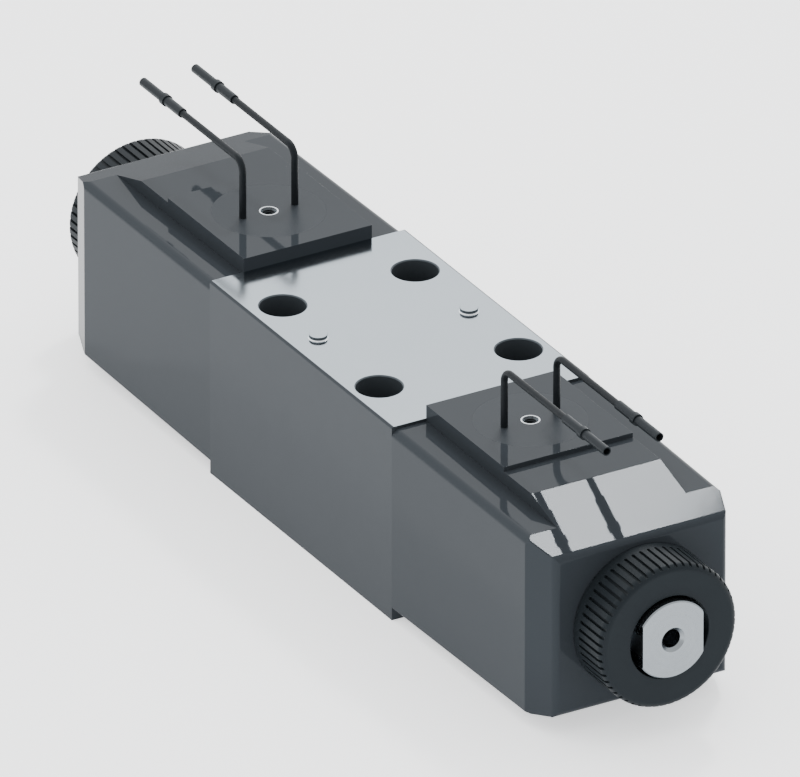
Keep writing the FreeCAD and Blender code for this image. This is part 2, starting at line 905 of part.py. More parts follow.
def side_parts():
    """Every sub-part of the side at +X, by name."""
    parts = {
        "spring_seat": spring_seat(),
        "centering_spring": centering_spring(),
        "pole_piece": pole_piece(),
        "tube_seal": tube_seal(),
        "pressure_tube": pressure_tube(),
        "armature": armature(),
        "push_pin": push_pin(),
        "end_plug": end_plug(),
        "override_pin": override_pin(),
        "override_seal": override_seal(),
        "coil_shell": coil_shell(),
        "coil_seal": coil_seal(),
        "yoke": yoke(),
        "yoke_washer": yoke_washer(),
        "bobbin": bobbin(),
        "winding": winding(),
        "potting_disc": potting_disc(),
        "pad_insert": pad_insert(),
        "knurled_nut": knurled_nut(),
        "nut_seal": nut_seal(),
    }
    for number, side in ((1, -1), (2, 1)):
        y = side * lead_pitch / 2
        parts[f"lead_{number}"] = lead(y)
        parts[f"ferrule_{number}"] = ferrule(y)
    return parts


def node_name(name, side):
    """Name of a side's node: the letter stands before a lead's number."""
    stem, _, number = name.rpartition("_")
    if number.isdigit():
        return f"{stem}_{side}{number}"
    return f"{name}_{side}"


def main():
    """Build every sub-part and write one file for each."""
    os.makedirs("parts", exist_ok=True)
    nodes = {"valve_body": valve_body(), "port_seals": port_seals(), "spool": spool()}
    for name, shape in side_parts().items():
        nodes[node_name(name, "b")] = shape
        nodes[node_name(name, "a")] = shape.mirror(Vector(0, 0, 0), X_AXIS)
    for name, shape in nodes.items():
        if not shape.isValid():
            print("not valid:", name)
        shape.exportStep(f"parts/{name}.step")
        print(name, len(shape.Solids), round(shape.Volume, 2))


main()
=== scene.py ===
"""Dress of a proportional directional valve: finishes, detailed shells, nuts and flying leads.

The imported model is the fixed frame. Every new piece is modelled in its place in that frame, in
metres, and rides on the body that carries it. Sizes in the classes are in millimetres.
"""

import logging
import math
from dataclasses import dataclass
from enum import Enum
from typing import Callable, Iterable, Sequence

import bpy
from mathutils import Matrix, Vector


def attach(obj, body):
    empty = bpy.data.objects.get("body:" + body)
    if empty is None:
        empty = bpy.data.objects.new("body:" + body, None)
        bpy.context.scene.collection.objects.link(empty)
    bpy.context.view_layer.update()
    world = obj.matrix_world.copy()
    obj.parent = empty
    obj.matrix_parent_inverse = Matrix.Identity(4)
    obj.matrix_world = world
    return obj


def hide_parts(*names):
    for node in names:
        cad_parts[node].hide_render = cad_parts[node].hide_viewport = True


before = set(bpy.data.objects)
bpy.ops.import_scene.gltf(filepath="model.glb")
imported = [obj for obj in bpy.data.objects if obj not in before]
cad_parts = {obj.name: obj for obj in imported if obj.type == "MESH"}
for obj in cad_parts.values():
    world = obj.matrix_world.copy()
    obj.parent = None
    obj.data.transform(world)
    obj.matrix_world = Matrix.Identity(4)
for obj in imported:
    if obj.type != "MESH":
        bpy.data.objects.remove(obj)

LOG = logging.getLogger("valve")
SIDES = (("a", -1), ("b", 1))
MM = 0.001
# Corners closer together than this are welded, and places this close lie in one plane.
WELD = MM * 0.001
CLOSE = 0.001
# Faces whose areas differ by less than this count as equally large.
EVEN_AREA = MM * MM
# In millimetres: height of the valve's axis, half the body's length, how far a cutter reaches past
# the face that it cuts, and how much a seal ring is squeezed.
AXIS_Z = 23.0
HALF_BODY = 37.0
OVER = 1.0
SQUEEZE = 0.1
# Angles of a quarter turn in six steps.
QUARTER = [math.radians(15.0 * step) for step in range(7)]
# Sockets of a Mix node for colours: its two colours and its result.
MIX_FIRST = 6
MIX_SECOND = 7
MIX_RESULT = 2

Piece = bpy.types.Object
Tree = bpy.types.NodeTree
Socket = bpy.types.NodeSocket
Point = tuple[float, float, float]
Outline = Sequence[tuple[float, float]]
EdgeTest = Callable[[Vector, Vector], bool]


class Axis(Enum):
    """Direction of a turned piece's axis."""

    X = "x"
    Z = "z"


# Modelling by hand


def metres(point: Iterable[float]) -> Vector:
    """Turn a point in millimetres into metres."""
    return Vector([value * MM for value in point])


def deselect() -> None:
    """Leave edit mode and select nothing."""
    if bpy.context.mode != "OBJECT":
        bpy.ops.object.mode_set(mode="OBJECT")
    bpy.ops.object.select_all(action="DESELECT")


def take(piece: Piece) -> None:
    """Make one object the only selected and the active one."""
    deselect()
    piece.select_set(True)
    bpy.context.view_layer.objects.active = piece


def named(name: str) -> Piece:
    """Name the object that an operator has just added, and put its place into its mesh.

    Args:
        name: Name of the piece.

    Returns:
        The object, at the origin, unturned and unscaled.
    """
    piece = bpy.context.view_layer.objects.active
    piece.name = name
    piece.data.name = name
    bpy.ops.object.transform_apply(location=True, rotation=True, scale=True)
    return piece


def add_block(name: str, low: Point, high: Point) -> Piece:
    """Add a block between two corners.

    Args:
        name: Name of the piece.
        low: Lowest corner in millimetres.
        high: Highest corner in millimetres.

    Returns:
        The new object.
    """
    deselect()
    middle = [(a + b) / 2 for a, b in zip(low, high)]
    span = [b - a for a, b in zip(low, high)]
    bpy.ops.mesh.primitive_cube_add(size=1.0, location=metres(middle), scale=metres(span))
    return named(name)


def lathe(name: str, outline: Outline, axis: Axis, centre: Point, steps: int = 96) -> Piece:
    """Turn a closed outline round an axis, as on a lathe.

    Args:
        name: Name of the piece.
        outline: Points (place along the axis, radius) in millimetres, without the closing point.
        axis: Direction of the axis.
        centre: A point on the axis in millimetres. Places along the axis count from it.
        steps: Number of steps in a full turn.

    Returns:
        The new object.
    """
    places = []
    for along, radius in outline:
        if axis is Axis.X:
            places.append(metres((centre[0] + along, centre[1], centre[2] + radius)))
        else:
            places.append(metres((centre[0] + radius, centre[1], centre[2] + along)))
    deselect()
    bpy.ops.mesh.primitive_plane_add(size=MM, location=places[0])
    piece = named(name)
    bpy.ops.object.mode_set(mode="EDIT")
    bpy.ops.mesh.select_mode(type="VERT")
    bpy.ops.mesh.select_all(action="SELECT")
    bpy.ops.mesh.merge(type="CENTER")
    for here, after in zip(places, [*places[1:], places[0]]):
        bpy.ops.mesh.extrude_region_move(TRANSFORM_OT_translate={"value": after - here})
    bpy.ops.mesh.select_all(action="SELECT")
    spin_axis = (1, 0, 0) if axis is Axis.X else (0, 0, 1)
    bpy.ops.mesh.spin(steps=steps, angle=math.tau, center=metres(centre), axis=spin_axis)
    bpy.ops.mesh.select_all(action="SELECT")
    bpy.ops.mesh.remove_doubles(threshold=WELD)
    bpy.ops.mesh.delete_loose(use_verts=True, use_edges=True, use_faces=False)
    bpy.ops.mesh.select_all(action="SELECT")
    bpy.ops.mesh.normals_make_consistent(inside=False)
    bpy.ops.object.mode_set(mode="OBJECT")
    return piece


def select_edges(piece: Piece, test: EdgeTest) -> None:
    """Enter edit mode with the edges selected whose two ends pass a test.

    Args:
        piece: The mesh object.
        test: Takes both ends of an edge, in millimetres.
    """
    take(piece)
    bpy.ops.object.mode_set(mode="EDIT")
    bpy.ops.mesh.select_mode(type="EDGE")
    bpy.ops.mesh.select_all(action="DESELECT")
    bpy.ops.object.mode_set(mode="OBJECT")
    points = piece.data.vertices
    for edge in piece.data.edges:
        ends = [points[i].co / MM for i in edge.vertices]
        edge.select = test(ends[0], ends[1])
    bpy.ops.object.mode_set(mode="EDIT")


def bevel_edges(piece: Piece, test: EdgeTest, width: float, segments: int) -> None:
    """Round the edges that pass a test.

    Args:
        piece: The mesh object.
        test: Takes both ends of an edge, in millimetres.
        width: Width of the bevel in millimetres.
        segments: Number of faces across it.
    """
    select_edges(piece, test)
    bpy.ops.mesh.bevel(offset=width * MM, offset_type="OFFSET", segments=segments, profile=0.5)
    bpy.ops.object.mode_set(mode="OBJECT")


def lengthways(a: Vector, b: Vector) -> bool:
    """Tell whether an edge runs along X by more than a millimetre."""
    return abs(a.x - b.x) > 1.0


def slice_off(piece: Piece, point: Point, normal: Point) -> None:
    """Cut a piece by a plane and close it again.

    Args:
        piece: The mesh object.
        point: A point on the plane in millimetres.
        normal: The side of the plane that is taken away.
    """
    take(piece)
    bpy.ops.object.mode_set(mode="EDIT")
    bpy.ops.mesh.select_all(action="SELECT")
    bpy.ops.mesh.bisect(
        plane_co=metres(point), plane_no=normal, use_fill=True, clear_outer=True, threshold=WELD
    )
    bpy.ops.object.mode_set(mode="OBJECT")


def combine(piece: Piece, tools: Sequence[Piece], operation: str = "DIFFERENCE") -> None:
    """Cut tools out of a piece, or add them to it, and delete them.

    Args:
        piece: The mesh object that stays.
        tools: The objects that are used up.
        operation: DIFFERENCE, UNION or INTERSECT.
    """
    for tool in tools:
        take(piece)
        change = piece.modifiers.new("combine", "BOOLEAN")
        change.object = tool
        change.operation = operation
        change.solver = "EXACT"
        bpy.ops.object.modifier_apply(modifier=change.name)
        bpy.data.objects.remove(tool, do_unlink=True)


def merge_flat(piece: Piece, degrees: float = 0.1) -> None:
    """Merge faces that lie in one plane, so that no seam crosses a flat face.

    Args:
        piece: The mesh object.
        degrees: Faces that turn by more are kept apart.
    """
    take(piece)
    bpy.ops.object.mode_set(mode="EDIT")
    bpy.ops.mesh.select_all(action="SELECT")
    bpy.ops.mesh.dissolve_limited(angle_limit=math.radians(degrees))
    bpy.ops.object.mode_set(mode="OBJECT")


def joined(tools: Sequence[Piece]) -> Piece:
    """Join separate objects into the first of them."""
    deselect()
    for tool in tools:
        tool.select_set(True)
    bpy.context.view_layer.objects.active = tools[0]
    bpy.ops.object.join()
    return tools[0]


def smooth(piece: Piece, degrees: float = 32.0) -> None:
    """Shade a piece smooth, with sharp edges kept and large flat faces exactly flat.

    Each corner takes the normal of the largest face round it, so that a wide flat face mirrors
    one way all over. Faces whose areas differ by less than EVEN_AREA count as equally large.

    Args:
        piece: The mesh object.
        degrees: Edges that turn by more stay sharp.
    """
    take(piece)
    bpy.ops.object.shade_smooth_by_angle(angle=math.radians(degrees))
    even = piece.modifiers.new("even", "WEIGHTED_NORMAL")
    even.keep_sharp = True
    even.weight = 100
    even.thresh = EVEN_AREA
    bpy.ops.object.modifier_apply(modifier=even.name)


def copied(piece: Piece, name: str, change: Matrix) -> Piece:
    """Copy a piece with its own mesh, changed by a matrix.

    Args:
        piece: The object that is copied.
        name: Name of the copy.
        change: Matrix in the frame, in metres. A mirror turns the faces the right way again.

    Returns:
        The copy.
    """
    twin = piece.copy()
    twin.data = piece.data.copy()
    twin.name = name
    twin.data.name = name
    bpy.context.scene.collection.objects.link(twin)
    twin.data.transform(change)
    if change.determinant() < 0:
        twin.data.flip_normals()
    return twin


MIRROR_X = Matrix.Scale(-1, 4, Vector((1, 0, 0)))


# Finishes


def linear(code: str) -> tuple[float, float, float, float]:
    """Turn an sRGB hex value such as #C0C5C9 into a linear colour."""
    channels = [int(code[i : i + 2], 16) / 255 for i in (1, 3, 5)]
    values = [c / 12.92 if c <= 0.04045 else ((c + 0.055) / 1.055) ** 2.4 for c in channels]
    return values[0], values[1], values[2], 1.0


def per_mm(size: float) -> float:
    """Scale of a pattern on Object coordinates whose features are that many millimetres."""
    return 1.0 / (size * MM)


def add_node(
    tree: Tree,
    kind: str,
    settings: dict[str | int, object] | None = None,
    links: dict[str | int, Socket] | None = None,
) -> bpy.types.Node:
    """Add a shader node with its settings and links.

    Args:
        tree: The material's node tree.
        kind: The node's type without ShaderNode in front, such as TexNoise.
        settings: Values by name or number of an input, or by the name of the node's own property.
        links: Output sockets by name or number of the input that they feed.

    Returns:
        The new node.
    """
    node = tree.nodes.new(f"ShaderNode{kind}")
    for key, value in (settings or {}).items():
        if isinstance(key, int) or key in node.inputs:
            node.inputs[key].default_value = value
        else:
            setattr(node, key, value)
    for key, socket in (links or {}).items():
        tree.links.new(socket, node.inputs[key])
    return node


def add_noise(
    tree: Tree, place: Socket, size_mm: float, detail: float, roughness: float = 0.5
) -> Socket:
    """Add noise whose features have a given size.

    Args:
        tree: The material's node tree.
        place: Object coordinates.
        size_mm: Size of the features in millimetres.
        detail: Number of finer layers.
        roughness: Strength of the finer layers.

    Returns:
        The socket that gives the noise, from 0 to 1.
    """
    noise = add_node(
        tree, "TexNoise",
        {"Scale": per_mm(size_mm), "Detail": detail, "Roughness": roughness}, {"Vector": place},
    )
    return noise.outputs["Fac"]


@dataclass(frozen=True)
class Finish:
    """A surface: its base values, and the fine unevenness that every real one has.

    Roughness wanders between two values over patches of blotch_mm, colour wanders from the base
    towards the second colour, and the bump has features of grain_mm. The patches make up
    blotch_share of the roughness's pattern and the grain the rest.
    """

    name: str
    colour: str
    second_colour: str
    roughness: tuple[float, float]
    metallic: float = 0.0
    ior: float = 1.5
    specular: float = 0.5
    blotch_mm: float = 6.0
    grain_mm: float = 0.4
    grain_height_mm: float = 0.004
    coat: float = 0.0
    coat_roughness: float = 0.03
    specular_tint: str = "#EBF6FF"
    blotch_share: float = 0.6
    noise_range: tuple[float, float] = (0.25, 0.75)

    def pattern(self, tree: Tree, place: Socket) -> Socket:
        """Height pattern of the finish; plain fine grain unless a finish says otherwise.

        Args:
            tree: The material's node tree.
            place: Object coordinates.

        Returns:
            The socket that gives the height, from 0 to 1.
        """
        return add_noise(tree, place, self.grain_mm, 3.0, 0.55)

    def material(self) -> bpy.types.Material:
        """Build the finish as a node material.

        Returns:
            The material, made once and then found by its name.
        """
        found = bpy.data.materials.get(self.name)
        if found is not None:
            return found
        made = bpy.data.materials.new(self.name)
        made.use_nodes = True
        made.diffuse_color = linear(self.colour)
        tree = made.node_tree
        tree.nodes.clear()
        place = add_node(tree, "TexCoord").outputs["Object"]
        blotch = add_noise(tree, place, self.blotch_mm, 4.0, 0.6)
        tint = add_node(
            tree, "Mix",
            {"data_type": "RGBA", MIX_FIRST: linear(self.colour),
             MIX_SECOND: linear(self.second_colour)},
            {0: blotch},
        )
        height = self.pattern(tree, place)
        fine = add_node(
            tree, "Math", {"operation": "MULTIPLY", 1: 1.0 - self.blotch_share}, {0: height}
        )
        mixed = add_node(
            tree, "Math",
            {"operation": "MULTIPLY_ADD", 1: self.blotch_share}, {0: blotch, 2: fine.outputs[0]},
        )
        rough = add_node(
            tree, "MapRange",
            {"From Min": self.noise_range[0], "From Max": self.noise_range[1],
             "To Min": self.roughness[0], "To Max": self.roughness[1]},
            {"Value": mixed.outputs[0]},
        )
        bump = add_node(
            tree, "Bump",
            {"Strength": 1.0, "Distance": self.grain_height_mm * MM},
            {"Height": height},
        )
        shader = add_node(
            tree, "BsdfPrincipled",
            {"Metallic": self.metallic, "IOR": self.ior, "Specular IOR Level": self.specular,
             "Specular Tint": linear(self.specular_tint),
             "Coat Weight": self.coat, "Coat Roughness": self.coat_roughness},
            {"Base Color": tint.outputs[MIX_RESULT], "Roughness": rough.outputs["Result"],
             "Normal": bump.outputs["Normal"]},
        )
        add_node(tree, "OutputMaterial", links={"Surface": shader.outputs["BSDF"]})
        return made


@dataclass(frozen=True)
class GroundFinish(Finish):
    """A face ground flat: fine parallel lines along X, a fraction of a millimetre apart."""

    line_mm: float = 0.35
    stretch: float = 0.02

    def pattern(self, tree: Tree, place: Socket) -> Socket:
        """Noise drawn out along X into grinding lines."""
        drawn = add_node(tree, "Mapping", {"Scale": (self.stretch, 1.0, 1.0)}, {"Vector": place})
        return add_noise(tree, drawn.outputs["Vector"], self.line_mm, 4.0, 0.7)


@dataclass(frozen=True)
class TurnedFinish(Finish):
    """A turned or wound surface: rings round the spool axis, or bands along it.

    The waves are drawn about six feeds apart, so that they still show at the photo's size.
    """

    feed_mm: float = 0.25
    bands: bool = False
    density: float = 0.31 / math.tau

    def pattern(self, tree: Tree, place: Socket) -> Socket:
        """Slightly uneven waves, as a tool or a wire leaves them."""
        axis = (0.0, 0.0, -AXIS_Z * MM)
        centred = add_node(tree, "Mapping", {"Location": axis}, {"Vector": place})
        waves = add_node(
            tree, "TexWave",
            {"wave_type": "BANDS" if self.bands else "RINGS",
             "Scale": per_mm(self.feed_mm) * self.density, "Distortion": 0.6,
             "Detail": 2.0, "Detail Scale": 1.5},
            {"Vector": centred.outputs["Vector"]},
        )
        waves.bands_direction = "X"
        waves.rings_direction = "X"
        return waves.outputs["Fac"]


# Grey cast iron under a dark baked coat: smooth and glossy, with the casting's slight waves.
COATED_CAST = Finish(
    "baked_coat_on_cast_iron", "#2C3034", "#2F3337", (0.16, 0.24), specular=0.07,
    grain_mm=2.4, grain_height_mm=0.002, blotch_mm=9.0,
)
# Ground steel face: a light metal that blurs what it mirrors, drawn out by the grinding lines.
GROUND_STEEL = GroundFinish(
    "ground_steel_face", "#989EA3", "#9DA3A7", (0.12, 0.165), metallic=1.0,
    grain_height_mm=0.0006, blotch_mm=11.0,
)
# Drilled and counterbored iron: dark, dull, with rings left by the tool.
BORED_IRON = Finish(
    "bored_cast_iron", "#3A3F43", "#34393D", (0.4, 0.55), metallic=0.3, blotch_mm=3.0,
)
# Painted highlight on the rounded foot round each boss: near white, for the bright surround that
# the foot mirrors.
BOSS_FOOT_PAINTED_HIGHLIGHT = Finish(
    "boss_foot_painted_highlight", "#DDE1E4", "#E6E9EB", (0.2, 0.3), metallic=0.6, blotch_mm=2.0,
)
# Glossy thermoplastic moulding: near black, a mirror at low angles, with faint sink marks.
COIL_MOULDING = Finish(
    "glossy_moulded_thermoplastic", "#2B2F33", "#2D3135", (0.035, 0.06), specular=0.06,
    grain_mm=7.0, grain_height_mm=0.003, blotch_mm=14.0,
)
# Cast epoxy resin: as dark as the moulding, but it set with a flatter gloss.
POTTING_RESIN = Finish(
    "cast_epoxy_resin", "#2B2F33", "#2E3236", (0.35, 0.42), specular=0.07,
    grain_mm=1.6, grain_height_mm=0.002,
)
# Glass-filled nylon: black and satin, with the fine grain of the mould.
NUT_MOULDING = Finish(
    "glass_filled_nylon", "#191D20", "#1D2124", (0.32, 0.42), specular=0.07,
    grain_mm=0.35, grain_height_mm=0.005,
)
# Turned and zinc plated steel: pale, with the lathe's rings.
PLATED_STEEL = TurnedFinish(
    "turned_zinc_plated_steel", "#7A7F83", "#83888C", (0.2, 0.3), metallic=1.0,
    grain_height_mm=0.0006,
)
# Free-turning brass under a dull nickel flash, as on moulded-in inserts.
INSERT_BRASS = Finish(
    "nickel_flashed_brass", "#BFC2C5", "#C8CBCD", (0.2, 0.3), metallic=0.8,
)
# The countersunk mouth of the insert, painted dark grey as painted shade inside the hole's mouth.
MOUTH_PAINTED_SHADE = Finish(
    "insert_mouth_painted_shade", "#3A3D40", "#44484B", (0.2, 0.3), metallic=0.9,
)
# The same insert inside its thread, painted darker still as painted shade deep in the hole.
THREAD_PAINTED_SHADE = Finish(
    "insert_thread_painted_shade", "#2A2D2F", "#35383A", (0.35, 0.5), metallic=0.6,
)
# Silicone lead jacket: dark grey and matt, slightly dusty.
LEAD_JACKET = Finish(
    "silicone_lead_jacket", "#15181A", "#191C1F", (0.4, 0.5), specular=0.1,
    grain_mm=0.5, grain_height_mm=0.003, blotch_mm=2.0,
)
# Crimped ferrule: drawn tube under a dark matt tin finish.
FERRULE_METAL = Finish(
    "dark_tinned_ferrule", "#171A1D", "#1B1F22", (0.34, 0.44), metallic=0.1, specular=0.12,
    grain_mm=0.3, grain_height_mm=0.002, blotch_mm=1.2,
)
# Override pin painted near black as painted shade for the deep hole that it sits in.
OVERRIDE_PIN_PAINTED_SHADE = Finish(
    "override_pin_painted_shade", "#15171A", "#1B1D20", (0.32, 0.45), metallic=0.3, blotch_mm=2.0,
)
# Nitrile rubber: black, soft shine, a little bloom.
NITRILE = Finish(
    "nitrile_rubber", "#121212", "#1C1C1B", (0.42, 0.6), specular=0.35, grain_mm=0.6,
)
# Hardened and ground steel of the spool and pins: almost a mirror.
GROUND_HARD = TurnedFinish(
    "hardened_ground_steel", "#BFC2C5", "#B4B7BA", (0.08, 0.16), metallic=1.0,
    feed_mm=0.15, bands=True, grain_height_mm=0.0005,
)
# Turned free-cutting steel inside the valve, under a film of oil.
TURNED_STEEL = TurnedFinish(
    "oiled_turned_steel", "#9A9DA0", "#8C8F92", (0.22, 0.34), metallic=1.0,
    bands=True, grain_height_mm=0.002, coat=0.4,
)
# Drawn spring wire, shot-peened: dull grey with small dents.
SPRING_WIRE = Finish(
    "peened_spring_wire", "#7C7F82", "#686B6E", (0.3, 0.45), metallic=1.0, grain_mm=0.25,
)
# Natural nylon bobbin: milky and waxy.
BOBBIN_NYLON = Finish(
    "natural_nylon", "#CFCBBE", "#C2BDAE", (0.35, 0.5), grain_mm=0.8,
)
# Enamelled copper wire, 0.6 mm thick, under a clear amber enamel.
COPPER_WINDING = TurnedFinish(
    "enamelled_copper_wire", "#B5662F", "#8F4A20", (0.2, 0.32), metallic=1.0,
    feed_mm=0.6, bands=True, grain_height_mm=0.12, coat=0.7,
)

NODE_FINISHES: dict[str, Finish] = {
    "valve_body": COATED_CAST,
    "port_seals": NITRILE,
    "spool": GROUND_HARD,
    "centering_spring": SPRING_WIRE,
    "spring_seat": TURNED_STEEL,
    "pole_piece": TURNED_STEEL,
    "tube_seal": NITRILE,
    "pressure_tube": TURNED_STEEL,
    "armature": TURNED_STEEL,
    "push_pin": GROUND_HARD,
    "end_plug": PLATED_STEEL,
    # The override pin is painted near black as painted shade for its hole.
    "override_pin": OVERRIDE_PIN_PAINTED_SHADE,
    "override_seal": NITRILE,
    "coil_shell": COIL_MOULDING,
    "coil_seal": NITRILE,
    "yoke": TURNED_STEEL,
    "yoke_washer": TURNED_STEEL,
    "bobbin": BOBBIN_NYLON,
    "winding": COPPER_WINDING,
    "potting_disc": POTTING_RESIN,
    "pad_insert": INSERT_BRASS,
    "knurled_nut": NUT_MOULDING,
    "nut_seal": NITRILE,
    "lead": LEAD_JACKET,
    "ferrule": FERRULE_METAL,
}


def paint(piece: Piece, finish: Finish) -> None:
    """Give a piece one finish all over."""
    piece.data.materials.clear()
    piece.data.materials.append(finish.material())


def dress_nodes() -> None:
    """Give every carried-over node its finish."""
    for name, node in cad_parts.items():
        stem = name if name in NODE_FINISHES else name.rsplit("_", 1)[0]
        paint(node, NODE_FINISHES[stem])


def place_piece(piece: Piece, body: str, slot: str, *nodes: str) -> None:
    """Let a finished piece ride on its body and stand for its nodes.

    Args:
        piece: The finished piece.
        body: The body that it moves with.
        slot: Not used.
        nodes: The nodes that it stands for.
    """
    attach(piece, body)
    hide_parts(*nodes)
    LOG.info("%s rides on %s: %d faces", piece.name, body,
             len(piece.data.polygons) if piece.type == "MESH" else 0)


# Camera, light and floor


@dataclass
class PhotoCamera:
    """Long lens from above the front side, at the photograph's angle.

    The lens is as long as still leaves the valve in sight when the camera is turned round it.
    """

    target: Point = (0.45, 0.0, 30.33)
    back: Point = (0.768, -0.443, 0.4624)
    distance_mm: float = 7204.0
    lens: float = 1600.0
    sensor: float = 36.0
    clip: tuple[float, float] = (0.1, 60.0)

    def build(self) -> Piece:
        """Add the camera and make it the scene's.

        Returns:
            The camera object.
        """
        back = Vector(self.back).normalized()
        deselect()
        bpy.ops.object.camera_add(
            location=metres(self.target) + back * (self.distance_mm * MM),
            rotation=back.to_track_quat("Z", "Y").to_euler(),
        )
        camera = bpy.context.view_layer.objects.active
        camera.name = "camera"
        camera.data.sensor_width = self.sensor
        camera.data.lens = self.lens
        camera.data.clip_start, camera.data.clip_end = self.clip
        bpy.context.scene.camera = camera
        LOG.info("camera at %s", tuple(round(v, 3) for v in camera.location))
        return camera


@dataclass
class Softbox:
    """A square area light that points at the valve."""

    name: str
    direction: Point
    distance_mm: float
    size_mm: float
    radiance: float

    def build(self) -> None:
        """Add the light; its power follows from its radiance and its area."""
        towards = Vector(self.direction).normalized()
        centre = metres((0.0, 0.0, AXIS_Z))
        deselect()
        bpy.ops.object.light_add(
            type="AREA",
            location=centre + towards * (self.distance_mm * MM),
            rotation=towards.to_track_quat("Z", "Y").to_euler(),
        )
        light = bpy.context.view_layer.objects.active
        light.name = self.name
        side = self.size_mm * MM
        light.data.shape = "SQUARE"
        light.data.size = side
        light.data.energy = self.radiance * math.pi * side * side
        light.visible_camera = False
        LOG.info("%s: %.1f W", self.name, light.data.energy)


@dataclass
class Studio:
    """Pale surround: lit paper on a grey floor, a white sky and the softboxes.

    The paper fades into the grey floor between the two distances of paper_mm.
    """

    floor_mm: float = 60000.0
    floor_colour: str = "#F4F5F6"
    far_floor_colour: str = "#878889"
    sky_colour: str = "#FFFFFF"
    sky_strength: tuple[float, float] = (3.0, 1.2)
    paper_glow: float = 1.0
    paper_mm: tuple[float, float] = (350.0, 650.0)
    paper_roughness: tuple[float, float] = (0.85, 0.95)
    paper_cloud_mm: float = 300.0
    boxes: tuple[Softbox, ...] = (
        Softbox("softbox_behind", (-0.379, 0.443, 0.812), 1600.0, 200.0, 84.0),
    )

    def floor_material(self) -> bpy.types.Material:
        """White paper on a light table, which fades into a grey studio floor.

        Returns:
            The material. The camera sees only the lit paper; low mirror images show the grey.
        """
        made = bpy.data.materials.new("matt_white_floor")
        made.use_nodes = True
        tree = made.node_tree
        tree.nodes.clear()
        place = add_node(tree, "TexCoord").outputs["Object"]
        rough = add_node(
            tree, "MapRange",
            {"To Min": self.paper_roughness[0], "To Max": self.paper_roughness[1]},
            {"Value": add_noise(tree, place, self.paper_cloud_mm, 2.0)},
        )
        distance = add_node(tree, "VectorMath", {"operation": "LENGTH"}, {"Vector": place})
        rim = {"From Min": self.paper_mm[0] * MM, "From Max": self.paper_mm[1] * MM}
        fade = add_node(tree, "MapRange", rim, {"Value": distance.outputs["Value"]})
        glow = add_node(
            tree, "MapRange",
            {**rim, "To Min": self.paper_glow, "To Max": 0.0},
            {"Value": distance.outputs["Value"]},
        )
        colour = add_node(
            tree, "Mix",
            {"data_type": "RGBA", MIX_FIRST: linear(self.floor_colour),
             MIX_SECOND: linear(self.far_floor_colour)},
            {0: fade.outputs["Result"]},
        )
        shader = add_node(
            tree, "BsdfPrincipled",
            {"Specular IOR Level": 0.1, "Emission Color": linear(self.floor_colour)},
            {"Base Color": colour.outputs[MIX_RESULT], "Roughness": rough.outputs["Result"],
             "Emission Strength": glow.outputs["Result"]},
        )
        add_node(tree, "OutputMaterial", links={"Surface": shader.outputs["BSDF"]})
        return made

    def sky(self) -> bpy.types.World:
        """White surround, brighter behind the valve than in front of its near end.

        Returns:
            The world.
        """
        made = bpy.data.worlds.new("white_sky")
        made.use_nodes = True
        tree = made.node_tree
        tree.nodes.clear()
        towards = add_node(tree, "TexCoord").outputs["Generated"]
        along = add_node(tree, "SeparateXYZ", links={"Vector": towards})
        strength = add_node(
            tree, "MapRange",
            {"From Min": -1.0, "From Max": 1.0,
             "To Min": self.sky_strength[0], "To Max": self.sky_strength[1]},
            {"Value": along.outputs["X"]},
        )
        glow = add_node(
            tree, "Background", {"Color": linear(self.sky_colour)},
            {"Strength": strength.outputs["Result"]},
        )
        add_node(tree, "OutputWorld", links={"Surface": glow.outputs["Background"]})
        return made

    def build(self) -> None:
        """Add the floor, the sky and the lights."""
        deselect()
        bpy.ops.mesh.primitive_plane_add(size=self.floor_mm * MM, location=(0, 0, 0))
        floor = named("floor")
        floor.data.materials.append(self.floor_material())
        bpy.context.scene.world = self.sky()
        for box in self.boxes:
            box.build()


# Cords


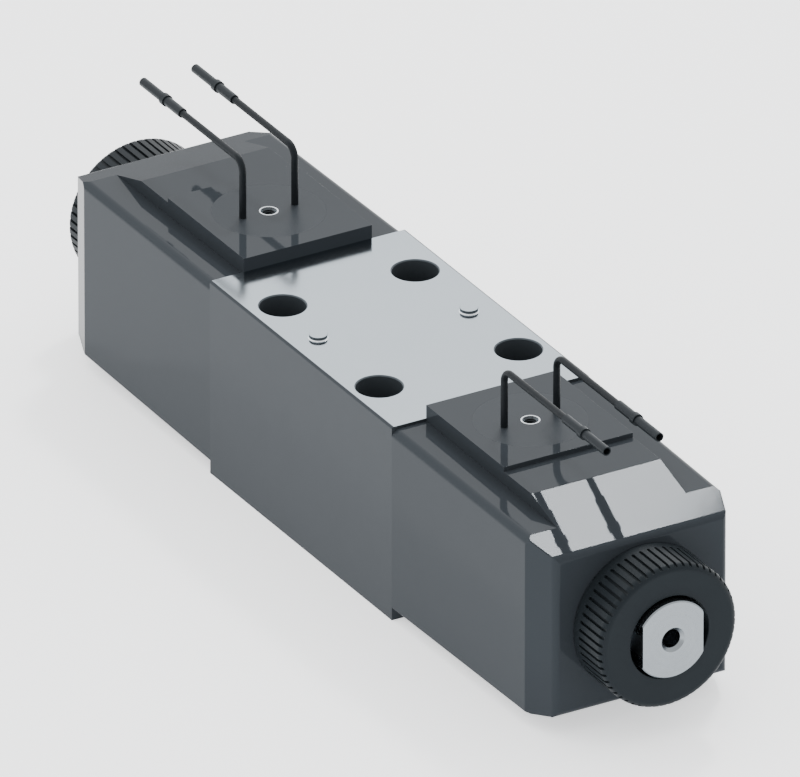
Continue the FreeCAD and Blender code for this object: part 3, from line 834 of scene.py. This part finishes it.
@dataclass
class FlyingLead:
    """One lead out of a coil's pad, with its crimped ferrule.

    Sizes are those of the side at +X. The tube has an outer diameter, a bore and a length; collar
    and sleeve have a diameter and a length.
    """

    exit_x: float = 53.0
    pitch: float = 12.2
    pad_top: float = 47.0
    diameter: float = 1.5
    length: float = 38.9
    rise: float = 11.0
    bend_near: float = 0.7
    bend_far: float = 1.912
    bend_low: float = 1.212
    ease: float = 1.4
    end_x: float = 80.1
    tip_x: float = 93.9
    tube: tuple[float, float, float] = (1.95, 1.5, 8.5)
    collar: tuple[float, float] = (2.55, 1.5)
    sleeve: tuple[float, float] = (2.05, 6.3)
    mouth_bore: float = 1.6
    mouth_depth: float = 2.5
    rim: float = 0.03

    def route(self, sign: int, y: float) -> list[Point]:
        """Control points of the lead: up, a tight bend over three turns, and outwards."""
        corner = self.pad_top + self.rise
        low = corner + self.bend_low
        high = low + self.bend_near
        places = [
            (self.exit_x, self.pad_top),
            (self.exit_x, corner - self.ease),
            (self.exit_x, corner),
            (self.exit_x + self.bend_near, low),
            (self.exit_x + self.bend_far, high),
            (self.exit_x + self.bend_far + self.ease, high),
            (self.end_x, high),
        ]
        return [(sign * x, y, z) for x, z in places]

    def ferrule_outline(self) -> list[tuple[float, float]]:
        """Places along X and radii of the ferrule of the side at +X, from the tip inwards."""
        tube_d, bore_d, tube_length = self.tube
        collar_d, collar_length = self.collar
        sleeve_d, sleeve_length = self.sleeve
        collar_x = self.tip_x - tube_length
        sleeve_x = collar_x - collar_length
        mouth_x = sleeve_x - sleeve_length
        rim = self.rim
        return [
            (collar_x, 0.0),
            (collar_x, bore_d / 2),
            (self.tip_x - rim, bore_d / 2),
            (self.tip_x, bore_d / 2 + rim),
            (self.tip_x, tube_d / 2 - rim),
            (self.tip_x - rim, tube_d / 2),
            (collar_x, tube_d / 2),
            (collar_x, collar_d / 2 - rim),
            (collar_x - rim, collar_d / 2),
            (sleeve_x + rim, collar_d / 2),
            (sleeve_x, collar_d / 2 - rim),
            (sleeve_x, sleeve_d / 2),
            (mouth_x + rim, sleeve_d / 2),
            (mouth_x, sleeve_d / 2 - rim),
            (mouth_x, self.mouth_bore / 2),
            (mouth_x + self.mouth_depth, self.mouth_bore / 2),
            (mouth_x + self.mouth_depth, 0.0),
        ]

    def build(self, side: str, sign: int, number: int) -> None:
        """Add one lead and its ferrule.

        Args:
            side: Letter of the side.
            sign: Direction of the side along X.
            number: 1 or 2, along Y.
        """
        y = (number - 1.5) * self.pitch
        points = self.route(sign, y)
        z = points[-1][2]
        outline = [(sign * x, r) for x, r in self.ferrule_outline()]
        ferrule = lathe(f"crimped_ferrule_{side}{number}", outline, Axis.X, (0.0, y, z), steps=32)
        smooth(ferrule, degrees=40.0)
        paint(ferrule, FERRULE_METAL)
        place_piece(ferrule, "housing", "ferrule_metal", f"ferrule_{side}{number}")

        line = bpy.data.curves.new(f"flying_lead_{side}{number}", "CURVE")
        line.dimensions = "3D"
        line.bevel_depth = self.diameter * MM / 2
        line.bevel_resolution = 5
        line.use_fill_caps = True
        line.resolution_u = 12
        spline = line.splines.new("NURBS")
        spline.points.add(len(points) - 1)
        for knot, point in zip(spline.points, points):
            knot.co = (*metres(point), 1.0)
        spline.order_u = 3
        spline.use_endpoint_u = True
        lead = bpy.data.objects.new(f"flying_lead_{side}{number}", line)
        bpy.context.scene.collection.objects.link(lead)
        paint(lead, LEAD_JACKET)
        place_piece(lead, "housing", "lead_jacket", f"lead_{side}{number}")


# Valve body


@dataclass
class ValveBody:
    """Cast body: dark coated sides, ground top and bottom, and machined holes."""

    length: float = 74.0
    width: float = 46.0
    height: float = 44.0
    edge: float = 0.5
    screw_row_x: float = 20.25
    screw_pitches: tuple[float, float] = (31.0, 32.5)
    screw_hole_d: float = 5.3
    counterbore_d: float = 9.6
    counterbore_depth: float = 22.0
    counterbore_edge: float = 0.25
    bosses: tuple[tuple[float, float], ...] = ((-4.4, -16.3), (0.7, 16.0))
    boss_d: float = 3.75
    boss_height: float = 0.85
    boss_foot: float = 0.25
    boss_edge: float = 0.05
    ports: tuple[tuple[float, float, float], ...] = (
        (1.25, -10.4, 23.0), (1.25, 10.4, 12.0), (-7.55, 0.0, 15.6), (9.95, 0.0, 15.6),
    )
    port_d: float = 7.5
    recess_d: float = 13.0
    recess_depth: float = 1.35
    spool_d: float = 12.0
    socket_d: float = 22.0
    socket_depth: float = 11.0
    groove_d: float = 17.0
    groove_width: float = 4.0
    grooves: tuple[float, ...] = (-16.3, -7.55, 1.25, 9.95, 18.7)

    def hole(self, x: float, y: float) -> Piece:
        """Cutter of one fixing screw, with its counterbore and bright bevelled rim."""
        top = self.height
        wide = self.counterbore_d / 2
        outline = [
            (-OVER, 0.0), (-OVER, self.screw_hole_d / 2),
            (top - self.counterbore_depth, self.screw_hole_d / 2),
            (top - self.counterbore_depth, wide),
            (top - self.counterbore_edge, wide),
            (top + OVER, wide + self.counterbore_edge + OVER),
            (top + OVER, 0.0),
        ]
        return lathe("hole", outline, Axis.Z, (x, y, 0.0), steps=64)

    def boss(self, x: float, y: float) -> Piece:
        """One small raised boss of the top face, with a rounded foot."""
        top = self.height
        r = self.boss_d / 2
        peak = top + self.boss_height
        foot = [
            (top + self.boss_foot * (1.0 - math.sin(a)), r + self.boss_foot * (1.0 - math.cos(a)))
            for a in QUARTER
        ]
        outline = [
            (top - OVER, 0.0), (top - OVER, r + self.boss_foot), *reversed(foot),
            (peak - self.boss_edge, r), (peak, r - self.boss_edge), (peak, 0.0),
        ]
        return lathe("boss", outline, Axis.Z, (x, y, 0.0), steps=64)

    def port(self, x: float, y: float, top: float) -> Piece:
        """Cutter of one port with its seal recess."""
        outline = [
            (-OVER, 0.0), (-OVER, self.recess_d / 2), (self.recess_depth, self.recess_d / 2),
            (self.recess_depth, self.port_d / 2), (top, self.port_d / 2), (top, 0.0),
        ]
        return lathe("port", outline, Axis.Z, (x, y, 0.0), steps=48)

    def bore(self) -> Piece:
        """Cutter of the spool bore, its ring grooves and the two tube sockets."""
        r = self.spool_d / 2
        end = self.length / 2 + OVER
        socket = self.length / 2 - self.socket_depth
        outline = [(-end, 0.0), (-end, self.socket_d / 2), (-socket, self.socket_d / 2)]
        outline.append((-socket, r))
        for x in self.grooves:
            start = x - self.groove_width / 2
            outline += [
                (start, r), (start, self.groove_d / 2),
                (start + self.groove_width, self.groove_d / 2), (start + self.groove_width, r),
            ]
        outline += [(socket, r), (socket, self.socket_d / 2), (end, self.socket_d / 2)]
        outline.append((end, 0.0))
        return lathe("bore", outline, Axis.X, (0.0, 0.0, AXIS_Z), steps=64)

    def finish_of(self, middle: Vector, normal: Vector) -> int:
        """Tell which finish a face has.

        Args:
            middle: Middle of the face in millimetres.
            normal: Direction that it faces.

        Returns:
            0 for the coat, 1 for ground steel, 2 for bored iron, 3 for the painted
            highlight at a boss's foot.
        """
        if abs(middle.x) > self.length / 2 - CLOSE or abs(middle.y) > self.width / 2 - self.edge:
            return 0
        near_boss = any(
            math.hypot(middle.x - x, middle.y - y) < self.boss_d / 2 + self.boss_foot
            for x, y in self.bosses
        )
        upwards = normal.z > 0.99
        if near_boss and middle.z > self.height + CLOSE:
            if upwards:
                return 1
            # A boss's rounded foot takes the painted highlight, its upright wall the bored finish.
            return 3 if middle.z < self.height + self.boss_foot else 2
        on_top = abs(middle.z - self.height) < CLOSE
        return 1 if on_top or abs(middle.z) < CLOSE else 2

    def build(self) -> None:
        """Add the body."""
        x = self.length / 2
        y = self.width / 2
        body = add_block("cast_valve_body", (-x, -y, 0.0), (x, y, self.height))
        bevel_edges(
            body, lambda a, b: min(a.z, b.z) > self.height - CLOSE and lengthways(a, b),
            self.edge, 8,
        )
        tools = [self.bore()]
        for sign, pitch in zip((-1, 1), self.screw_pitches):
            for side in (-1, 1):
                tools.append(self.hole(sign * self.screw_row_x, side * pitch / 2))
        tools += [self.port(*place) for place in self.ports]
        combine(body, tools)
        combine(body, [self.boss(*place) for place in self.bosses], "UNION")
        smooth(body, degrees=28.0)
        for finish in (COATED_CAST, GROUND_STEEL, BORED_IRON, BOSS_FOOT_PAINTED_HIGHLIGHT):
            body.data.materials.append(finish.material())
        for face in body.data.polygons:
            face.material_index = self.finish_of(face.center / MM, face.normal)
        place_piece(body, "housing", "cast_body", "valve_body")


# Coils


@dataclass
class CoilHousing:
    """Moulded housing of one solenoid: drafted block, ridge, pad, sloped end and its bores.

    Sizes are those of the side at +X. The cavity has a diameter, a start and a length, and the
    seal a middle diameter and a thickness.
    """

    length: float = 60.3
    half_width: float = 23.0
    bottom: float = 2.75
    top: float = 43.35
    draft: float = 0.5
    edge: float = 1.7
    low_edge: float = 0.3
    end_edge: float = 1.2
    facet_edge: float = 0.25
    ridge_half: float = 15.0
    ridge_top: float = 46.0
    crown_edge: float = 0.05
    ridge_setback: float = 6.0
    pad_top: float = 47.0
    pad_length: float = 31.2
    slope: float = 17.0
    slope_start: float = 42.2
    side_slope: float = 19.0
    side_slope_length: float = 7.5
    bottom_slope: float = 13.0
    bottom_slope_length: float = 6.0
    bore_d: float = 19.6
    cavity: tuple[float, float, float] = (36.0, 2.5, 52.0)
    seal: tuple[float, float] = (23.8, 1.9)
    exit: float = 16.0
    disc_d: float = 23.5
    disc_depth: float = 2.0
    insert_d: float = 4.1
    insert_depth: float = 4.6

    @property
    def end(self) -> float:
        """Place of the outer end along X."""
        return HALF_BODY + self.length

    @property
    def middle(self) -> float:
        """Height half-way up the block."""
        return (self.bottom + self.top) / 2

    @property
    def shrink(self) -> float:
        """How much the draft takes off each side at the outer end."""
        return self.length * math.tan(math.radians(self.draft))

    def bore(self) -> Piece:
        """Cutter of the tube bore, the room of the coil and the seal groove."""
        wide, start, length = self.cavity
        bore = self.bore_d / 2
        return lathe(
            "coil_bore",
            [
                (-OVER, 0.0), (-OVER, bore), (start, bore), (start, wide / 2),
                (start + length, wide / 2), (start + length, bore),
                (self.length + OVER, bore), (self.length + OVER, 0.0),
            ],
            Axis.X, (HALF_BODY, 0.0, AXIS_Z), steps=96,
        )

    def seal_groove(self) -> Piece:
        """Cutter of the groove for the O-ring at the valve body."""
        ring_d, width = self.seal
        low = (ring_d - width) / 2
        high = (ring_d + width) / 2
        floor = width - SQUEEZE
        return lathe(
            "seal_groove", [(-OVER, low), (-OVER, high), (floor, high), (floor, low)],
            Axis.X, (HALF_BODY, 0.0, AXIS_Z), steps=96,
        )

    def pad_hole(self) -> Piece:
        """Cutter of the disc recess and the insert's hole in the pad."""
        disc = self.disc_d / 2
        insert = self.insert_d / 2
        return lathe(
            "pad_hole",
            [
                (self.pad_top - self.insert_depth, 0.0),
                (self.pad_top - self.insert_depth, insert),
                (self.pad_top - self.disc_depth, insert),
                (self.pad_top - self.disc_depth, disc),
                (self.pad_top + OVER, disc), (self.pad_top + OVER, 0.0),
            ],
            Axis.Z, (HALF_BODY + self.exit, 0.0, 0.0), steps=96,
        )

    def slope_top(self, piece: Piece) -> None:
        """Cut the slope at the top of the housing's end."""
        tilt = math.radians(self.slope)
        slice_off(
            piece, (HALF_BODY + self.slope_start, 0.0, self.ridge_top),
            (math.sin(tilt), 0.0, math.cos(tilt)),
        )

    def block(self) -> Piece:
        """The main block: drafted towards its end, with its two upper corners rounded."""
        y = self.half_width
        high = (self.top - self.bottom) / 2
        low = (HALF_BODY, -y, self.bottom)
        block = add_block("moulded_coil_housing_b", low, (self.end, y, self.top))
        select_edges(block, lambda a, b: min(a.x, b.x) > self.end - CLOSE)
        bpy.ops.transform.resize(
            value=(1.0, (y - self.shrink) / y, (high - self.shrink) / high),
            center_override=metres((self.end, 0.0, self.middle)),
        )
        bpy.ops.object.mode_set(mode="OBJECT")
        bevel_edges(
            block, lambda a, b: lengthways(a, b) and min(a.z, b.z) > self.middle, self.edge, 9
        )
        return block

    def cut_slopes(self, block: Piece) -> None:
        """Cut the slopes at the top, the sides and the bottom of the block's end."""
        self.slope_top(block)
        lean = math.radians(self.side_slope)
        for side in (-1, 1):
            slice_off(
                block,
                (self.end - self.side_slope_length, side * (self.half_width - self.shrink), 0.0),
                (math.sin(lean), side * math.cos(lean), 0.0),
            )
        lean = math.radians(self.bottom_slope)
        slice_off(
            block, (self.end - self.bottom_slope_length, 0.0, self.bottom + self.shrink),
            (math.sin(lean), 0.0, -math.cos(lean)),
        )

    def round_end(self, block: Piece) -> None:
        """Round the rim of the end, the edges between slope and facets, and the lower corners."""
        facet = self.end - self.side_slope_length

        def corner(a: Vector, b: Vector) -> bool:
            """Tell whether an edge runs lengthways at one of the block's corners."""
            return lengthways(a, b) and min(abs(a.y), abs(b.y)) > self.ridge_half

        def upper(a: Vector, b: Vector) -> bool:
            """Tell whether an edge lies between the top slope and a facet."""
            return corner(a, b) and min(a.z, b.z) > self.middle and min(a.x, b.x) > facet

        def lower(a: Vector, b: Vector) -> bool:
            """Tell whether an edge is a lower corner of the block."""
            return corner(a, b) and max(a.z, b.z) < self.middle

        bevel_edges(block, lambda a, b: min(a.x, b.x) > self.end - CLOSE, self.end_edge, 9)
        bevel_edges(block, upper, self.facet_edge, 8)
        bevel_edges(block, lower, self.low_edge, 8)

    def crown(self) -> Piece:
        """Ridge and pad in one piece; the slope's lower end is buried in the block."""
        y = self.ridge_half
        step = HALF_BODY + self.pad_length
        end = self.end - self.ridge_setback
        crown = add_block("crown", (HALF_BODY, -y, AXIS_Z), (end, y, self.pad_top))
        notch = add_block(
            "notch", (step, -y - OVER, self.ridge_top), (end + OVER, y + OVER, self.pad_top + OVER)
        )
        combine(crown, [notch])
        self.slope_top(crown)
        rise = (self.pad_top - self.ridge_top) / 2

        def outer(a: Vector, b: Vector) -> bool:
            """Tell whether an edge shows: along the top, upright, or the pad's upper front."""
            front = min(a.x, b.x) > HALF_BODY + OVER and min(a.z, b.z) > self.ridge_top + rise
            sides = lengthways(a, b) or abs(a.z - b.z) > rise
            return min(a.z, b.z) > self.top - 2.0 and (sides or front)

        bevel_edges(crown, outer, self.crown_edge, 8)
        return crown

    def build(self) -> Piece:
        """Add the housing of the side at +X.

        Returns:
            The finished piece.
        """
        housing = self.block()
        self.cut_slopes(housing)
        self.round_end(housing)
        combine(housing, [self.crown()], "UNION")
        merge_flat(housing)
        combine(housing, [self.bore(), self.seal_groove(), self.pad_hole()])
        paint(housing, COIL_MOULDING)
        return housing


@dataclass
class PadFittings:
    """Cast resin disc round the leads, and the threaded insert in its middle.

    Each turn of the thread goes through the points of thread_shape: a share of the pitch, and how
    far the thread is cut in there.
    """

    x: float = 53.0
    top: float = 47.0
    disc_d: float = 23.48
    disc_depth: float = 2.0
    insert_d: float = 4.0
    thread_d: float = 2.5
    mouth_d: float = 3.4
    mouth_depth: float = 0.45
    depth: float = 4.6
    play: float = 0.02
    turns: int = 8
    run_out: float = 0.6
    thread_shape: Outline = ((0.25, 0.0), (0.6, 0.2), (0.95, 0.0))

    def disc(self) -> Piece:
        """Resin disc, flush with the pad."""
        r = self.disc_d / 2
        hole = self.insert_d / 2 + self.play
        low = self.top - self.disc_depth
        return lathe(
            "cast_resin_disc_b",
            [(low, hole), (low, r), (self.top, r), (self.top, hole)],
            Axis.Z, (self.x, 0.0, 0.0), steps=96,
        )

    def insert(self) -> Piece:
        """Brass bush with the countersunk start of its thread."""
        r = self.insert_d / 2
        hole = self.thread_d / 2
        low = self.top - self.depth
        mouth = self.top - self.mouth_depth
        outline = [(low, hole), (low, r), (self.top, r)]
        outline += [(self.top, self.mouth_d / 2), (mouth, hole)]
        pitch = (self.depth - self.run_out) / self.turns
        for i in range(self.turns):
            z = mouth - i * pitch
            outline += [(z - pitch * share, hole + cut) for share, cut in self.thread_shape]
        return lathe("threaded_brass_insert_b", outline, Axis.Z, (self.x, 0.0, 0.0), steps=48)

    def build(self) -> tuple[Piece, Piece]:
        """Add both fittings of the side at +X.

        Returns:
            The disc and the insert.
        """
        disc = self.disc()
        insert = self.insert()
        paint(disc, POTTING_RESIN)
        paint(insert, INSERT_BRASS)
        insert.data.materials.append(THREAD_PAINTED_SHADE.material())
        insert.data.materials.append(MOUTH_PAINTED_SHADE.material())
        # Only the upward rim keeps the flashed brass; the mouth and the thread take the painted
        # shade of the hole's inside.
        for face in insert.data.polygons:
            in_mouth = face.center.z / MM > self.top - self.mouth_depth
            rim = face.normal.z > 0.99
            face.material_index = 0 if rim else (2 if in_mouth else 1)
        return disc, insert


# Nuts and tube ends


@dataclass
class KnurledNut:
    """Coil nut: turned outline with straight grooves that run out at the front rim.

    Relief and recess have a diameter and a depth; the seal a middle diameter and a thickness.
    """

    start: float = 97.3
    length: float = 11.3
    outer_d: float = 31.8
    face_d: float = 28.6
    rim: float = 1.5
    back_edge: float = 0.5
    bore_d: float = 17.1
    relief: tuple[float, float] = (19.6, 1.7)
    recess: tuple[float, float] = (18.2, 4.6)
    recess_edge: float = 0.1
    seal: tuple[float, float] = (23.8, 1.9)
    grooves: int = 56
    groove_width: float = 0.62
    groove_depth: float = 0.6
    groove_start: float = 2.3
    groove_round: float = 0.98

    def outline(self) -> list[tuple[float, float]]:
        """Outline of the nut without its grooves; places count from the coil's end."""
        outer = self.outer_d / 2
        face = self.face_d / 2
        relief_d, relief_depth = self.relief
        recess_d, recess_depth = self.recess
        ring_d, width = self.seal
        front = [
            (self.length - self.rim * (1.0 - math.sin(a)), face + (outer - face) * math.cos(a))
            for a in QUARTER
        ]
        low = (ring_d - width) / 2
        high = (ring_d + width) / 2
        corner = self.back_edge * 0.3
        return [
            (0.0, relief_d / 2), (0.0, low), (width - SQUEEZE, low), (width - SQUEEZE, high),
            (0.0, high), (0.0, outer - self.back_edge), (corner, outer - corner),
            (self.back_edge, outer), *front,
            (self.length, recess_d / 2 + self.recess_edge),
            (self.length - self.recess_edge, recess_d / 2),
            (self.length - recess_depth, recess_d / 2),
            (self.length - recess_depth, self.bore_d / 2),
            (relief_depth, self.bore_d / 2), (relief_depth, relief_d / 2),
        ]

    def groove(self) -> Piece:
        """Cutter of one groove, with its round end towards the coil."""
        half = self.groove_width / 2
        low = AXIS_Z + self.outer_d / 2 - self.groove_depth
        start = self.start + self.groove_start
        cutter = add_block(
            "groove", (start, -half, low), (self.start + self.length + OVER, half, low + 2 * OVER)
        )
        bevel_edges(
            cutter,
            lambda a, b: max(a.x, b.x) < start + CLOSE and abs(a.z - b.z) > OVER,
            half * self.groove_round, 5,
        )
        return cutter

    def build(self) -> Piece:
        """Add the nut of the side at +X.

        Returns:
            The finished piece.
        """
        nut = lathe(
            "knurled_coil_nut_b", self.outline(), Axis.X, (self.start, 0.0, AXIS_Z), steps=168
        )
        first = self.groove()
        cutters = [first]
        centre = Matrix.Translation(metres((0.0, 0.0, AXIS_Z)))
        for i in range(1, self.grooves):
            turn = Matrix.Rotation(math.tau * i / self.grooves, 4, "X")
            cutters.append(copied(first, "groove", centre @ turn @ centre.inverted()))
        combine(nut, [joined(cutters)])
        paint(nut, NUT_MOULDING)
        return nut


@dataclass
class TubeEnd:
    """End plug of the pressure tube: stud with two spanner flats and the override hole.

    Chamber and countersink have a diameter and a depth; the seal a diameter, a start and an end.
    """

    start: float = 85.8
    tube_end: float = 98.5
    end: float = 110.0
    plug_d: float = 15.9
    stud_d: float = 17.0
    edge: float = 0.25
    flat_width: float = 14.0
    flat_length: float = 5.4
    chamber: tuple[float, float] = (8.0, 6.0)
    hole_d: float = 4.0
    countersink: tuple[float, float] = (5.4, 0.7)
    seal: tuple[float, float, float] = (6.4, 94.2, 95.4)

    def outline(self) -> list[tuple[float, float]]:
        """Outline with the bore for the override pin and the groove of its seal."""
        hole = self.hole_d / 2
        wide, deep = self.countersink
        chamber_d, chamber_depth = self.chamber
        groove_d, groove_start, groove_end = self.seal
        return [
            (self.start, chamber_d / 2), (self.start, self.plug_d / 2),
            (self.tube_end, self.plug_d / 2), (self.tube_end, self.stud_d / 2),
            (self.end - self.edge, self.stud_d / 2), (self.end, self.stud_d / 2 - self.edge),
            (self.end, wide / 2), (self.end - deep, hole),
            (groove_end, hole), (groove_end, groove_d / 2),
            (groove_start, groove_d / 2), (groove_start, hole),
            (self.start + chamber_depth, hole), (self.start + chamber_depth, chamber_d / 2),
        ]

    def build(self) -> Piece:
        """Add the tube end of the side at +X.

        Returns:
            The finished piece.
        """
        stud = lathe("plated_tube_end_b", self.outline(), Axis.X, (0.0, 0.0, AXIS_Z), steps=96)
        wide = self.stud_d
        for side in (-1, 1):
            near = side * self.flat_width / 2
            far = side * wide
            cutter = add_block(
                "flat",
                (self.end - self.flat_length, min(near, far), AXIS_Z - wide),
                (self.end + OVER, max(near, far), AXIS_Z + wide),
            )
            combine(stud, [cutter])
        paint(stud, PLATED_STEEL)
        return stud


def both_sides(
    piece: Piece, mirrored: str, body: str, slot: str, node: str, degrees: float = 32.0
) -> None:
    """Place a piece of the side at +X, and its mirror image on the other side.

    Each is shaded smooth for itself, because a mirror image can't keep the other's normals.

    Args:
        piece: The finished piece of the side at +X.
        mirrored: Name of the mirror image.
        body: Body that it rides on, with {} in place of the side's letter.
        slot: Passed on to place_piece, which does not use it.
        node: Node that it stands for, without the side's letter.
        degrees: Edges that turn by more stay sharp.
    """
    twin = copied(piece, mirrored, MIRROR_X)
    for target, side in ((piece, "b"), (twin, "a")):
        smooth(target, degrees)
        place_piece(target, body.format(side), slot, f"{node}_{side}")


def main() -> None:
    logging.basicConfig(level=logging.INFO, format="%(name)s: %(message)s")
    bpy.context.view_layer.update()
    PhotoCamera().build()
    for side, sign in SIDES:
        for number in (1, 2):
            FlyingLead().build(side, sign, number)
    dress_nodes()
    ValveBody().build()
    both_sides(
        CoilHousing().build(), "moulded_coil_housing_a", "housing", "coil_plastic", "coil_shell",
        degrees=12.0,
    )
    disc, insert = PadFittings().build()
    both_sides(disc, "cast_resin_disc_a", "housing", "potting_resin", "potting_disc")
    both_sides(insert, "threaded_brass_insert_a", "housing", "insert_brass", "pad_insert")
    both_sides(KnurledNut().build(), "knurled_coil_nut_a", "nut_{}", "nut_plastic", "knurled_nut")
    both_sides(TubeEnd().build(), "plated_tube_end_a", "housing", "plated_steel", "end_plug")
    Studio().build()


if __name__ == "__main__":
    main()
